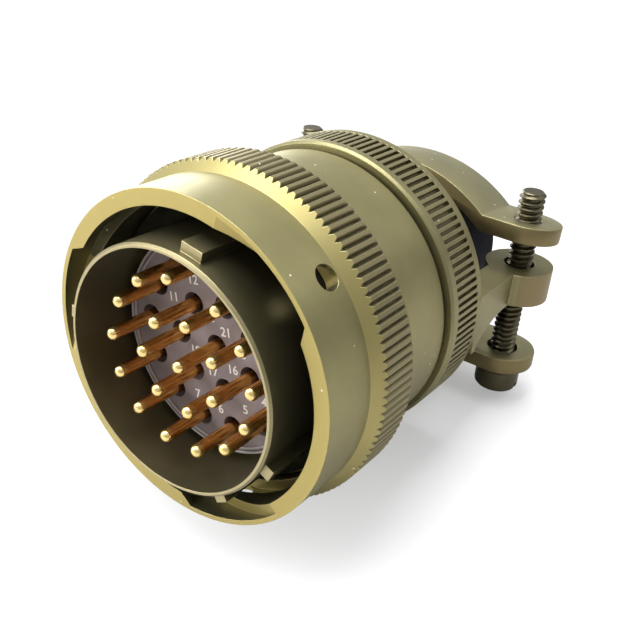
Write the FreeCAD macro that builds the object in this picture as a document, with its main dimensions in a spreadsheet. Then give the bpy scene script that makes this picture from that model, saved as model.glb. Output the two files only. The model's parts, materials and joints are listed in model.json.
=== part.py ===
"""Bayonet coupled circular plug with 21 pin contacts and a saddle cable clamp.

Every piece is drawn about the connector's own axis: +Y runs from the mating rim to the cable
clamp, +Z along the clamp screws and +X to the side. The pieces are then turned together by the
small angle at which the plug lies on a flat surface, on the coupling ring and the screw heads.
"""

import FreeCAD, Part
import Sketcher
import math
import os

Vector = FreeCAD.Vector
Rotation = FreeCAD.Rotation
Placement = FreeCAD.Placement

os.makedirs("parts", exist_ok=True)
document = FreeCAD.newDocument("BayonetPlug")
sheet = document.addObject("Spreadsheet::Sheet", "Sizes")

# Driving dimensions, in millimetres and degrees, with y depths counted from the mating rim. Radii
# build up outwards from the circle of contacts, and depths rearwards from the insert's face.
DIMENSIONS = {
    # Contacts and their cavities
    "pin_radius": 0.794, "contact_spacing": 4.76, "outer_contacts": 13, "inner_contacts": 7,
    "key_gap_angle": 39.6, "pin_setback": 1.6, "nose_radius": 0.4, "nose_length": 0.55,
    "contact_shoulder": 0.516, "cavity_clearance": 0.09, "cavity_depth": 1.6, "tail_length": 4.4,
    # Insert and its seat
    "insert_face_depth": 8.4, "contact_margin": 2.742, "rim_ridge_width": 0.45,
    "rim_ridge_height": 0.35, "insert_clearance": 0.05, "seat_setback": 1.2, "seat_length": 1.2,
    "seat_ledge": 0.65, "insert_collar_length": 7.8,
    # Barrel and its keys
    "barrel_wall": 0.55, "rim_chamfer": 0.25, "key_height": 1.15, "key_setback": 1.0,
    "master_key_width": 2.8, "minor_key_width": 1.6, "master_key_angle": 79.5,
    # Shell flange, ring seat and rear thread
    "flange_setback": 0.2, "flange_thickness": 1.4, "flange_rise": 1.9, "hub_step": 0.9,
    "thread_relief": 0.2, "shell_overhang": 0.2, "gasket_thickness": 0.7, "gasket_margin": 0.25,
    # Coupling ring
    "ring_front": 2.8, "ring_gap": 0.35, "ring_wall": 1.9, "band_length": 7.3,
    "shoulder_length": 1.3, "shoulder_rise": 1.3, "knurl_edge": 0.4, "lip_thickness": 1.26,
    "running_clearance": 0.05, "skirt_relief": 0.45, "skirt_overhang": 0.9, "knurl_count": 126,
    "knurl_depth": 0.4, "knurl_cut_share": 0.6,
    # Bayonet channels of the ring
    "channel_count": 3, "channel_depth": 1.3, "channel_width": 3.05,
    "channel_mouth_angle": 77.0, "channel_step_sweep": 46.5, "channel_sweep": 153.0,
    "channel_step_depth": 3.9, "channel_end_depth": 7.0, "channel_lip_slant": 8.0,
    "sight_hole_radius": 1.5,
    # Wave washer, thrust washer and retaining ring
    "seat_gap": 0.02, "wave_height": 0.9, "wave_thickness": 0.3, "wave_crests": 6,
    "washer_thickness": 0.5, "washer_clearance": 0.3, "split_angle": 6.0, "retainer_thickness": 1.0,
    "retainer_rise": 1.7, "retainer_groove_depth": 0.6, "retainer_split": 14.0,
    # Grommet and follower
    "grommet_length": 6.2, "follower_length": 1.4, "follower_width": 1.95,
    # Rear sleeve
    "sleeve_wall": 3.15, "sleeve_gap": 0.25, "sleeve_seat_length": 2.0, "sleeve_seat_width": 1.75,
    "sleeve_edge": 0.25, "neck_length": 0.55, "neck_depth": 1.05, "spigot_step": 0.7,
    "spigot_length": 3.95,
    # Fluted clamp body
    "fluted_rise": 0.85, "fluted_edge": 0.3, "flute_count": 122, "flute_width": 0.54,
    "flute_depth": 0.55, "flute_front_margin": 1.3, "flute_rear_margin": 1.3,
    "spigot_gap": 0.3, "end_wall": 3.4, "outlet_gap": 0.3,
    # Rubber bushing in the outlet
    "bushing_clearance": 0.1, "bushing_collar": 4.0, "bushing_step": 1.6, "bushing_wall": 2.1,
    "bushing_overhang": 3.8, "bushing_edge": 0.5,
    # Clamp arms
    "arm_inset": 0.1, "arm_thickness": 4.0, "arm_reach": 13.2, "arm_block_length": 5.2,
    "arm_top": 3.1, "arm_bottom": 1.4, "arm_root_bottom": 5.0,
    # Clamp screws and lock washers
    "screw_inset": 1.2, "screw_radius": 1.75, "screw_hole_gap": 0.35, "screw_projection": 4.0,
    "head_overhang": 1.35, "head_height": 3.2, "head_edge": 0.6, "slot_width": 0.9,
    "slot_depth": 1.2, "lock_washer_overhang": 0.2, "lock_washer_thickness": 0.8,
    "lock_washer_split": 20.0,
    # Saddles
    "ear_radius": 4.6, "saddle_thickness": 2.3, "upper_saddle_gap": 4.0, "lower_saddle_gap": 8.5,
    "fold_gap": 0.2, "upper_saddle_rise": 4.5, "lower_saddle_rise": 2.8, "upper_saddle_lean": 6.5,
}


class Length:
    """A size together with the formula that gives it in the sheet."""

    def __init__(self, value, formula):
        self.value = value
        self.formula = formula

    def joined(self, sign, other, value):
        return Length(value, f"({self.formula} {sign} {as_length(other).formula})")

    def __add__(self, other):
        return self.joined("+", other, self.value + as_length(other).value)

    def __sub__(self, other):
        return self.joined("-", other, self.value - as_length(other).value)

    def __mul__(self, other):
        return self.joined("*", other, self.value * as_length(other).value)

    def __truediv__(self, other):
        return self.joined("/", other, self.value / as_length(other).value)

    def __neg__(self):
        return Length(-self.value, f"(-1 * {self.formula})")


def as_length(size):
    """Return a plain number or a Length as a Length."""
    if isinstance(size, Length):
        return size
    return Length(size, repr(size))


def size_of(name):
    """Return the named driving dimension."""
    return Length(sheet.get(name), f"Sizes.{name}")


def circle_of(spacing, pitch):
    """Return the radius at which places stand a spacing apart, one pitch in degrees each."""
    radius = spacing.value / (2 * math.sin(math.radians(pitch.value / 2)))
    return Length(radius, f"({spacing.formula} / (2 * sin({pitch.formula} / 2)))")


def half_chord(radius, offset):
    """Return half the chord of a circle at an offset from its centre."""
    square = radius * radius - offset * offset
    return Length(math.sqrt(square.value), f"sqrt({square.formula})")


for row, (alias, number) in enumerate(DIMENSIONS.items(), start=1):
    cell = f"B{row}"
    sheet.set(f"A{row}", alias)
    sheet.set(cell, str(number))
    sheet.setAlias(cell, alias)
document.recompute()
D = {alias: size_of(alias) for alias in DIMENSIONS}
ZERO = as_length(0.0)

# Circles of the contacts, from their spacing and their number
CONTACT_LETTERS = "abcdefghjklmnprstuvwx"
outer_pitch = (as_length(360.0) - D["key_gap_angle"]) / (D["outer_contacts"] - 1)
outer_circle = circle_of(D["contact_spacing"], outer_pitch)
inner_pitch = as_length(360.0) / D["inner_contacts"]
inner_circle = circle_of(D["contact_spacing"], inner_pitch)

# Radii that follow, from the contacts outwards
contact_radius = D["pin_radius"] + D["contact_shoulder"]
cavity_radius = contact_radius + D["cavity_clearance"]
ridge_inner = outer_circle + D["contact_margin"]
insert_face_radius = ridge_inner + D["rim_ridge_width"]
barrel_bore = insert_face_radius + D["seat_ledge"]
insert_radius = barrel_bore - D["insert_clearance"]
barrel_radius = barrel_bore + D["barrel_wall"]
hub_radius = barrel_radius + D["hub_step"]
thread_radius = hub_radius - D["thread_relief"]
groove_floor = hub_radius - D["retainer_groove_depth"]
retainer_radius = hub_radius + D["retainer_rise"]
flange_radius = hub_radius + D["flange_rise"]
ring_bore = flange_radius + D["ring_gap"]
skirt_bore = ring_bore + D["skirt_relief"]
channel_radius = ring_bore + D["channel_depth"]
band_radius = ring_bore + D["ring_wall"]
knurl_radius = band_radius + D["shoulder_rise"]
sleeve_radius = thread_radius + D["sleeve_wall"]
neck_radius = sleeve_radius - D["neck_depth"]
spigot_radius = neck_radius - D["spigot_step"]
sleeve_bore = barrel_bore - D["sleeve_seat_width"]
follower_bore = barrel_bore - D["follower_width"]
fluted_radius = sleeve_radius + D["fluted_rise"]
bushing_collar_radius = sleeve_bore - D["bushing_clearance"]
bushing_radius = bushing_collar_radius - D["bushing_step"]
bushing_bore = bushing_radius - D["bushing_wall"]
outlet_radius = bushing_radius + D["outlet_gap"]
arm_outer = fluted_radius - D["arm_inset"]
arm_inner = arm_outer - D["arm_thickness"]
screw_offset = arm_outer - D["screw_inset"]
screw_hole_radius = D["screw_radius"] + D["screw_hole_gap"]
head_radius = D["screw_radius"] + D["head_overhang"]
lock_washer_radius = head_radius + D["lock_washer_overhang"]
saddle_fold = screw_offset - D["ear_radius"] - D["fold_gap"]

# Depths that follow, from the insert's face rearwards
contact_seat = D["insert_face_depth"] + D["cavity_depth"]
seat_depth = D["insert_face_depth"] + D["seat_setback"]
seat_rear = seat_depth + D["seat_length"]
insert_rear = seat_rear + D["insert_collar_length"]
grommet_rear = insert_rear + D["grommet_length"]
follower_rear = grommet_rear + D["follower_length"]
shell_length = grommet_rear + D["shell_overhang"]
flange_depth = seat_rear + D["flange_setback"]
flange_rear = flange_depth + D["flange_thickness"]
washer_front = flange_rear + D["wave_height"]
washer_rear = washer_front + D["washer_thickness"]
lip_front = washer_rear + D["seat_gap"]
lip_rear = lip_front + D["lip_thickness"]
groove_front = lip_rear + D["seat_gap"]
groove_rear = groove_front + D["retainer_thickness"]
ring_rear = groove_rear + D["skirt_overhang"]
sleeve_front = ring_rear + D["sleeve_gap"]
sleeve_shoulder = follower_rear + D["sleeve_seat_length"]
neck_rear = sleeve_shoulder + D["neck_length"]
spigot_rear = neck_rear + D["spigot_length"]
wall_front = spigot_rear + D["spigot_gap"]
clamp_rear = wall_front + D["end_wall"]
screw_depth = clamp_rear + D["arm_reach"]
arm_block_front = screw_depth - D["arm_block_length"]
ear_front = screw_depth - D["ear_radius"]
ear_rear = screw_depth + D["ear_radius"]
bushing_shoulder = wall_front - D["bushing_clearance"]
bushing_front = bushing_shoulder - D["bushing_collar"]
bushing_rear = ear_rear + D["bushing_overhang"]

# Heights of the clamp that follow, from the arms upwards and downwards
upper_saddle_height = D["arm_top"] + D["upper_saddle_gap"]
upper_ear_top = upper_saddle_height + D["saddle_thickness"]
screw_tip = upper_ear_top + D["screw_projection"]
lower_saddle_height = D["arm_bottom"] + D["lower_saddle_gap"]
lower_ear_bottom = -(lower_saddle_height + D["saddle_thickness"])
lock_washer_bottom = lower_ear_bottom - D["lock_washer_thickness"]
head_seat = lock_washer_bottom - D["seat_gap"]
head_bottom = head_seat - D["head_height"]

# Angle at which the plug lies, from the ring's rear edge and the rear of the screw heads
rest_rise = knurl_radius.value + head_bottom.value
rest_run = screw_depth.value + head_radius.value - ring_rear.value
rest_angle = math.degrees(math.atan2(rest_rise, rest_run))
ATTITUDE = Placement(Vector(0, 0, 0), Rotation(Vector(1, 0, 0), -rest_angle))
ALONG_AXIS = Rotation(Vector(1, 0, 0), -90)

finished = []


def finish(piece, name):
    """Name a finished piece and lay it down with the rest of the plug."""
    piece.Label = name
    piece.Placement = ATTITUDE
    finished.append(piece)
    return piece


def bind(piece, **sizes):
    """Tie properties of a piece to their formulas."""
    for prop, size in sizes.items():
        piece.setExpression(prop, as_length(size).formula)
    return piece


def origin_plane(body, role):
    """Return one of a body's own origin planes."""
    return next(plane for plane in body.Origin.OriginFeatures if plane.Role == role)


def profile_sketch(body, role, points, arcs=None):
    """Draw a closed outline whose corners, and arc centres, follow the sheet.

    An arc is given by the corner it starts from, a point on it, and one coordinate of its centre.
    """
    sketch = body.newObject("Sketcher::SketchObject", f"{body.Name}Profile")
    sketch.AttachmentSupport = [(origin_plane(body, role), "")]
    sketch.MapMode = "FlatFace"
    corners = [Vector(x.value, y.value, 0) for x, y in points]
    count = len(corners)
    arcs = arcs or {}
    starts = []
    for index, start in enumerate(corners):
        end = corners[(index + 1) % count]
        if index not in arcs:
            starts.append((sketch.addGeometry(Part.LineSegment(start, end), False), 1))
            continue
        middle, kind, centre = arcs[index]
        curve = Part.Arc(start, Vector(middle[0].value, middle[1].value, 0), end)
        geometry = sketch.addGeometry(curve, False)
        from_start = sketch.getPoint(geometry, 1).distanceToPoint(start) < 1e-6
        starts.append((geometry, 1 if from_start else 2))
        place_point(sketch, kind, geometry, 3, centre)
    for index, (geometry, first) in enumerate(starts):
        following, next_first = starts[(index + 1) % count]
        sketch.addConstraint(Sketcher.Constraint("Coincident", geometry, 3 - first, following,
                                                 next_first))
    for (geometry, first), (x, y) in zip(starts, points):
        place_point(sketch, "DistanceX", geometry, first, x)
        place_point(sketch, "DistanceY", geometry, first, y)
    return sketch


def place_point(sketch, kind, geometry, point, size):
    """Hold one coordinate of a sketch point at its formula."""
    if abs(size.value) < 1e-9:
        axis = -2 if kind == "DistanceX" else -1
        sketch.addConstraint(Sketcher.Constraint("PointOnObject", geometry, point, axis))
        return
    place = sketch.addConstraint(Sketcher.Constraint(kind, -1, 1, geometry, point, size.value))
    sketch.setExpression(f"Constraints[{place}]", size.formula)


def turned(name, points, angle=360.0, arcs=None):
    """Turn an outline of radius and depth pairs about the connector axis."""
    body = document.addObject("PartDesign::Body", name)
    sketch = profile_sketch(body, "XY_Plane", points, arcs)
    turning = body.newObject("PartDesign::Revolution", f"{name}Turned")
    turning.Profile = sketch
    turning.ReferenceAxis = (sketch, ["V_Axis"])
    turning.Angle = angle
    body.Tip = turning
    return body


def padded(name, role, points, length, arcs=None):
    """Extrude an outline to both sides of its plane."""
    body = document.addObject("PartDesign::Body", name)
    sketch = profile_sketch(body, role, points, arcs)
    pad = body.newObject("PartDesign::Pad", f"{name}Pad")
    pad.Profile = sketch
    pad.Midplane = True
    pad.setExpression("Length", as_length(length).formula)
    body.Tip = pad
    return body


def rod(name, radius, length, base, rotation=Rotation()):
    """Make a round rod from its base point, along Z before it is turned."""
    piece = document.addObject("Part::Cylinder", name)
    bind(piece, Radius=radius, Height=length)
    piece.Placement = Placement(base, rotation)
    return piece


def cut(name, base, tool):
    piece = document.addObject("Part::Cut", name)
    piece.Base = base
    piece.Tool = tool
    return piece


def fused(name, shapes):
    piece = document.addObject("Part::MultiFuse", name)
    piece.Shapes = shapes
    return piece


def shared(name, first, second):
    piece = document.addObject("Part::MultiCommon", name)
    piece.Shapes = [first, second]
    return piece


def group(name, pieces):
    piece = document.addObject("Part::Compound", name)
    piece.Links = pieces
    return piece


def made(name, shape):
    """Hold a shape that only the geometry functions can make."""
    piece = document.addObject("Part::Feature", name)
    piece.Shape = shape
    return piece


def around_axis(angle):
    """Return the placement that turns a piece about the connector axis, from +X towards +Z."""
    return Placement(Vector(0, 0, 0), Rotation(Vector(0, 1, 0), -angle))


def on_circle(radius, angle, depth):
    """Return the point at an angle from +X towards +Z."""
    turn = math.radians(angle)
    return Vector(radius * math.cos(turn), depth, radius * math.sin(turn))


def wrapped_band(inner, outer, front, rear, start, end, steps, slant=0.0):
    """Make a solid wrapped round the axis between two radii, with depths that vary by angle.

    A slant, in degrees, makes the band end earlier at its outer radius than at its inner one.
    """
    ahead = math.copysign(slant / 2, end - start)
    corners = [(inner, front, end + ahead), (outer, front, end - ahead),
               (outer, rear, end - ahead), (inner, rear, end + ahead)]
    rails = []
    for radius, depth, last in corners:
        angles = [start + (last - start) * step / steps for step in range(steps + 1)]
        rails.append([on_circle(radius, angle, depth(angle)) for angle in angles])
    edges = []
    for rail in rails:
        curve = Part.BSplineCurve()
        curve.interpolate(rail)
        edges.append(curve.toShape())
    faces = [Part.makeRuledSurface(edges[i], edges[(i + 1) % 4]) for i in range(4)]
    for place in (0, -1):
        loop = [rail[place] for rail in rails]
        faces.append(Part.Face(Part.makePolygon(loop + loop[:1])))
    shell = Part.makeShell(faces)
    shell.sewShape()
    solid = Part.makeSolid(shell)
    if solid.Volume < 0:
        solid.reverse()
    return solid


def contact_places():
    """Return each contact's letter and its place across the axis."""
    key_angle = D["master_key_angle"].value
    first = key_angle - D["key_gap_angle"].value / 2
    places = [on_circle(outer_circle.value, first - outer_pitch.value * step, 0)
              for step in range(int(D["outer_contacts"].value))]
    places += [on_circle(inner_circle.value, key_angle - inner_pitch.value * step, 0)
               for step in range(int(D["inner_contacts"].value))]
    places.append(Vector(0, 0, 0))
    return list(zip(CONTACT_LETTERS, places))


def contact_rods(name, radius, length, depth):
    """Group one rod along the axis for each contact."""
    rods = [rod(f"{name}{letter.upper()}", radius, length, place + Vector(0, depth.value, 0),
                ALONG_AXIS) for letter, place in contact_places()]
    return group(name, rods)


# Plug shell: barrel, keys, flange, ring seat, retaining groove and rear thread
def plug_shell():
    chamfer = D["rim_chamfer"]
    seat = insert_face_radius + D["insert_clearance"]
    turned_shell = turned("ShellTurned", [
        (barrel_bore, ZERO), (barrel_radius - chamfer, ZERO), (barrel_radius, chamfer),
        (barrel_radius, flange_depth), (flange_radius, flange_depth),
        (flange_radius, flange_rear), (hub_radius, flange_rear),
        (hub_radius, groove_front), (groove_floor, groove_front), (groove_floor, groove_rear),
        (thread_radius, groove_rear), (thread_radius, shell_length),
        (barrel_bore, shell_length), (barrel_bore, seat_rear), (seat, seat_rear),
        (seat, seat_depth), (barrel_bore, seat_depth)])
    length = flange_depth - D["gasket_thickness"] - D["key_setback"]
    sunk = (barrel_radius - barrel_bore) / 2
    keys = []
    for number, offset in enumerate((0, -105, -140, -215, -265)):
        width = D["master_key_width"] if number == 0 else D["minor_key_width"]
        key = document.addObject("Part::Box", f"Key{number}")
        bind(key, Length=width, Width=length, Height=D["key_height"] + sunk)
        foot = Vector(-width.value / 2, D["key_setback"].value, (barrel_radius - sunk).value)
        turn = around_axis(D["master_key_angle"].value + offset - 90)
        key.Placement = turn.multiply(Placement(foot, Rotation()))
        keys.append(key)
    finish(fused("PlugShell", [turned_shell] + keys), "plug_shell")


# Flat rubber gasket at the root of the barrel
def face_gasket():
    inner = barrel_radius + D["insert_clearance"]
    outer = flange_radius - D["gasket_margin"]
    front = flange_depth - D["gasket_thickness"]
    finish(turned("FaceGasket", [(inner, front), (outer, front), (outer, flange_depth),
                                 (inner, flange_depth)]), "face_gasket")


# Coupling ring: smooth band, shoulder, knurl, inner lip, bayonet channels and sight holes
def coupling_ring():
    band_rear = D["ring_front"] + D["band_length"]
    crest_front = band_rear + D["shoulder_length"]
    edge = D["knurl_edge"]
    lip_bore = hub_radius + D["running_clearance"]
    blank = turned("RingTurned", [
        (ring_bore, D["ring_front"]), (band_radius, D["ring_front"]),
        (band_radius, band_rear), (knurl_radius, crest_front),
        (knurl_radius, ring_rear - edge), (knurl_radius - edge, ring_rear),
        (skirt_bore, ring_rear), (skirt_bore, lip_rear), (lip_bore, lip_rear),
        (lip_bore, lip_front), (ring_bore, lip_front)])
    knurled = cut("KnurledRing", blank, knurl_cuts())
    finish(cut("CouplingRing", knurled, channel_cuts()), "coupling_ring")


def channel_cuts():
    """Cut the helical channels, with an open mouth, a blunt step and a sight hole at the end."""
    sweep = D["channel_sweep"].value
    step = D["channel_step_sweep"].value
    step_depth = D["channel_step_depth"].value
    end_depth = D["channel_end_depth"].value
    mouth = D["channel_mouth_angle"].value
    front = D["ring_front"].value
    width = D["channel_width"].value
    bend = (end_depth - step_depth * sweep / step) / (sweep * (sweep - step))
    slope = step_depth / step - bend * step

    def back_flank(angle):
        run = mouth - angle
        return front + slope * run + bend * run * run

    def front_flank(angle):
        return back_flank(angle) - width

    def before_ring(angle):
        return front - width

    inner = ring_bore.value - width / 4
    outer = channel_radius.value
    slant = D["channel_lip_slant"].value
    end_angle = mouth - sweep
    opening = wrapped_band(inner, outer, before_ring, back_flank, mouth, mouth - step, 10, slant)
    run = wrapped_band(inner, outer, front_flank, back_flank, mouth - step + slant / 2,
                       end_angle, 22)
    middle = on_circle(inner, end_angle, (back_flank(end_angle) + front_flank(end_angle)) / 2)
    outward = Vector(middle.x, 0, middle.z)
    end_round = Part.makeCylinder(width / 2, outer - inner, middle, outward)
    hole_length = knurl_radius.value - inner
    sight_hole = Part.makeCylinder(D["sight_hole_radius"].value, hole_length, middle, outward)
    count = int(D["channel_count"].value)
    channel = opening.multiFuse([run, end_round, sight_hole])
    return made("ChannelCuts", copies_around(channel, count))


def knurl_cuts():
    """Cut the straight serrations, which run out through the shoulder."""
    depth = D["knurl_depth"].value
    count = int(D["knurl_count"].value)
    crest = knurl_radius.value
    half_width = math.pi * crest / count * D["knurl_cut_share"].value
    start = (D["ring_front"] + D["band_length"]).value - depth
    reach = 3
    outer = crest + (reach - 1) * depth
    corners = [Vector(crest - depth, start, 0), Vector(outer, start, half_width * reach),
               Vector(outer, start, -half_width * reach)]
    face = Part.Face(Part.makePolygon(corners + corners[:1]))
    groove = face.extrude(Vector(0, ring_rear.value - start + depth, 0))
    return made("KnurlCuts", copies_around(groove, count))


def copies_around(shape, count):
    """Return evenly turned copies of a shape as one compound."""
    copies = []
    for number in range(count):
        copy = shape.copy()
        copy.Placement = around_axis(360.0 * number / count)
        copies.append(copy)
    return Part.makeCompound(copies)


# Split wave washer that presses the ring back, between the flange and the thrust washer
def wave_washer():
    inner = (hub_radius + D["washer_clearance"]).value
    outer = flange_radius.value
    swing = (D["wave_height"] - D["wave_thickness"]).value / 2
    middle = flange_rear.value + swing
    crests = D["wave_crests"].value / 2
    thickness = D["wave_thickness"].value

    def front(angle):
        return middle - swing * math.cos(math.radians(crests * 2 * angle))

    def rear(angle):
        return front(angle) + thickness

    half_split = D["split_angle"].value / 2
    finish(made("WaveWasher", wrapped_band(inner, outer, front, rear, half_split,
                                           360 - half_split, 96)), "wave_washer")


def thrust_washer():
    inner = hub_radius + D["running_clearance"]
    outer = ring_bore - D["washer_clearance"]
    finish(turned("ThrustWasher", [(inner, washer_front), (outer, washer_front),
                                   (outer, washer_rear), (inner, washer_rear)]),
           "thrust_washer")


# Split retaining ring in the groove behind the lip
def retaining_ring():
    inner = groove_floor + D["running_clearance"]
    outline = [(inner, groove_front), (retainer_radius, groove_front),
               (retainer_radius, groove_rear), (inner, groove_rear)]
    split = D["retainer_split"].value
    finish(turned("RetainingRing", outline, 360 - split), "retaining_ring")


# Hard insert with a raised rim and a cavity for each contact
def contact_insert():
    face = D["insert_face_depth"]
    ridge_front = face - D["rim_ridge_height"]
    blank = turned("InsertTurned", [
        (ZERO, face), (ridge_inner, face), (ridge_inner, ridge_front),
        (insert_face_radius, ridge_front), (insert_face_radius, seat_rear),
        (insert_radius, seat_rear), (insert_radius, insert_rear), (ZERO, insert_rear)])
    cavities = contact_rods("Cavity", cavity_radius, insert_rear, ZERO)
    finish(cut("ContactInsert", blank, cavities), "contact_insert")


# One contact: blunt nosed pin on a thicker body, which runs through the insert to its tail
def contact(letter, place):
    radius = D["pin_radius"]
    front = D["pin_setback"]
    tail = insert_rear + D["tail_length"]
    body = turned(f"Contact{letter.upper()}", [
        (ZERO, front), (D["nose_radius"], front), (radius, front + D["nose_length"]),
        (radius, contact_seat), (contact_radius, contact_seat), (contact_radius, tail),
        (ZERO, tail)])
    finish(body, f"contact_{letter}")
    body.Placement = ATTITUDE.multiply(Placement(place, Rotation()))


# Soft grommet that seals round the tails of the contacts and their wires
def wire_grommet():
    blank = turned("GrommetTurned", [
        (ZERO, insert_rear), (insert_radius, insert_rear), (insert_radius, grommet_rear),
        (ZERO, grommet_rear)])
    holes = contact_rods("GrommetHole", cavity_radius, shell_length, ZERO)
    finish(cut("WireGrommet", blank, holes), "wire_grommet")


def grommet_follower():
    finish(turned("GrommetFollower", [
        (follower_bore, grommet_rear), (insert_radius, grommet_rear),
        (insert_radius, follower_rear), (follower_bore, follower_rear)]),
        "grommet_follower")


# Smooth rear sleeve, threaded on the shell in front and into the clamp body behind
def rear_sleeve():
    clearance = D["running_clearance"]
    edge = D["sleeve_edge"]
    thread_bore = thread_radius + clearance
    counterbore_rear = shell_length + D["sleeve_gap"]
    finish(turned("RearSleeve", [
        (thread_bore, sleeve_front), (sleeve_radius - edge, sleeve_front),
        (sleeve_radius, sleeve_front + edge), (sleeve_radius, sleeve_shoulder - edge),
        (sleeve_radius - edge, sleeve_shoulder), (neck_radius, sleeve_shoulder),
        (neck_radius, neck_rear), (spigot_radius, neck_rear),
        (spigot_radius, spigot_rear), (sleeve_bore, spigot_rear), (sleeve_bore, follower_rear),
        (barrel_bore, follower_rear), (barrel_bore, counterbore_rear),
        (thread_bore, counterbore_rear)]), "rear_sleeve")


# Clamp body: fluted ring, end wall and the two arms that carry the clamp screws
def clamp_body():
    edge = D["fluted_edge"]
    bore = spigot_radius + D["running_clearance"]
    blank = turned("FlutedRing", [
        (bore, neck_rear), (fluted_radius - edge, neck_rear),
        (fluted_radius, neck_rear + edge), (fluted_radius, clamp_rear - edge),
        (fluted_radius - edge, clamp_rear), (outlet_radius, clamp_rear),
        (outlet_radius, wall_front), (bore, wall_front)])
    flute_length = clamp_rear - neck_rear - D["flute_front_margin"] - D["flute_rear_margin"]
    depth = D["flute_depth"].value
    corner = Vector(fluted_radius.value - depth,
                    (neck_rear + D["flute_front_margin"]).value, -D["flute_width"].value / 2)
    flute = Part.makeBox(depth * 2, flute_length.value, D["flute_width"].value, corner)
    fluted = cut("FlutedCut", blank,
                 made("Flutes", copies_around(flute, int(D["flute_count"].value))))
    near_arm = clamp_arm()
    far_arm = document.addObject("Part::Mirroring", "FarArm")
    far_arm.Source = near_arm
    far_arm.Normal = Vector(1, 0, 0)
    solid = fused("ClampSolid", [fluted, near_arm, far_arm])
    holes = screw_rods("ArmHole", screw_hole_radius, -D["arm_root_bottom"],
                       D["arm_root_bottom"] + D["arm_top"] * 2)
    finish(cut("ClampBody", solid, holes), "clamp_body")


def clamp_arm():
    """Make one arm as what its plan and its side view share."""
    root = clamp_rear - D["fluted_edge"] * 2
    plan = padded("ArmPlan", "XY_Plane", [
        (arm_inner, root), (arm_outer, root),
        (arm_outer, screw_depth - half_chord(D["ear_radius"], arm_outer - screw_offset)),
        (arm_inner, screw_depth - half_chord(D["ear_radius"], screw_offset - arm_inner))],
        D["arm_root_bottom"] * 2,
        arcs={2: ((screw_offset, ear_rear), "DistanceY", screw_depth)})
    drop = D["arm_root_bottom"] - D["arm_bottom"]
    rise = arm_block_front - clamp_rear
    bow = (rise * rise + drop * drop) / (drop * 2)
    run = rise.value / 2
    sag = bow.value - math.sqrt(bow.value ** 2 - run ** 2)
    bow_middle = (arm_block_front - run, -(D["arm_bottom"] + sag))
    side = padded("ArmSide", "YZ_Plane", [
        (root, D["arm_top"]), (ear_rear, D["arm_top"]), (ear_rear, -D["arm_bottom"]),
        (arm_block_front, -D["arm_bottom"]), (clamp_rear, -D["arm_root_bottom"]),
        (root, -D["arm_root_bottom"])], (screw_offset + D["ear_radius"]) * 2,
        arcs={3: (bow_middle, "DistanceX", arm_block_front)})
    return shared("NearArm", plan, side)


def screw_rods(name, radius, foot, length):
    """Group one upright rod on each clamp screw's axis."""
    rods = [rod(f"{name}{side}", radius, length,
                Vector(sign * screw_offset.value, screw_depth.value, foot.value))
            for side, sign in (("Near", 1), ("Far", -1))]
    return group(name, rods)


def saddle(name, inner_height, outer_height, rise, lean, hole_radius):
    """Bend a strap over the cable, with a flat ear on each screw, and lean it back."""
    fold = saddle_fold
    reach = screw_offset + D["ear_radius"]
    centre = rise - (fold * fold + rise * rise) / (rise * 2)
    strap = padded(f"{name}Strap", "XZ_Plane", [
        (-reach, inner_height), (-fold, inner_height), (fold, inner_height),
        (reach, inner_height), (reach, outer_height), (fold, outer_height),
        (-fold, outer_height), (-reach, outer_height)], screw_depth * 4,
        arcs={1: ((ZERO, inner_height + rise), "DistanceY", inner_height + centre),
              5: ((ZERO, outer_height + rise), "DistanceY", outer_height + centre)})
    side = screw_offset
    outline = padded(f"{name}Outline", "XY_Plane", [
        (-side, ear_front), (side, ear_front), (side, ear_rear), (-side, ear_rear)], screw_depth,
        arcs={1: ((side + D["ear_radius"], screw_depth), "DistanceX", side),
              3: ((-side - D["ear_radius"], screw_depth), "DistanceX", -side)})
    blank = shared(f"{name}Blank", strap, outline)
    hinge = Vector(0, screw_depth.value, (inner_height.value + outer_height.value) / 2)
    blank.Placement = Placement(Vector(0, 0, 0), Rotation(Vector(1, 0, 0), -lean.value), hinge)
    holes = screw_rods(f"{name}Hole", hole_radius, -screw_depth / 2, screw_depth)
    return cut(name, blank, holes)


def saddles():
    tapped = D["screw_radius"] + D["running_clearance"]
    finish(saddle("UpperSaddle", upper_saddle_height, upper_ear_top, D["upper_saddle_rise"],
                  D["upper_saddle_lean"], tapped), "upper_saddle")
    finish(saddle("LowerSaddle", -lower_saddle_height, lower_ear_bottom,
                  -D["lower_saddle_rise"], ZERO, screw_hole_radius), "lower_saddle")


# Rubber bushing behind the end wall's outlet, which the saddles close on
def cable_bushing():
    edge = D["bushing_edge"]
    finish(turned("CableBushing", [
        (bushing_bore, bushing_front), (bushing_collar_radius, bushing_front),
        (bushing_collar_radius, bushing_shoulder), (bushing_radius, bushing_shoulder),
        (bushing_radius, bushing_rear - edge), (bushing_radius - edge, bushing_rear),
        (bushing_bore, bushing_rear)]), "cable_bushing")


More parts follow.
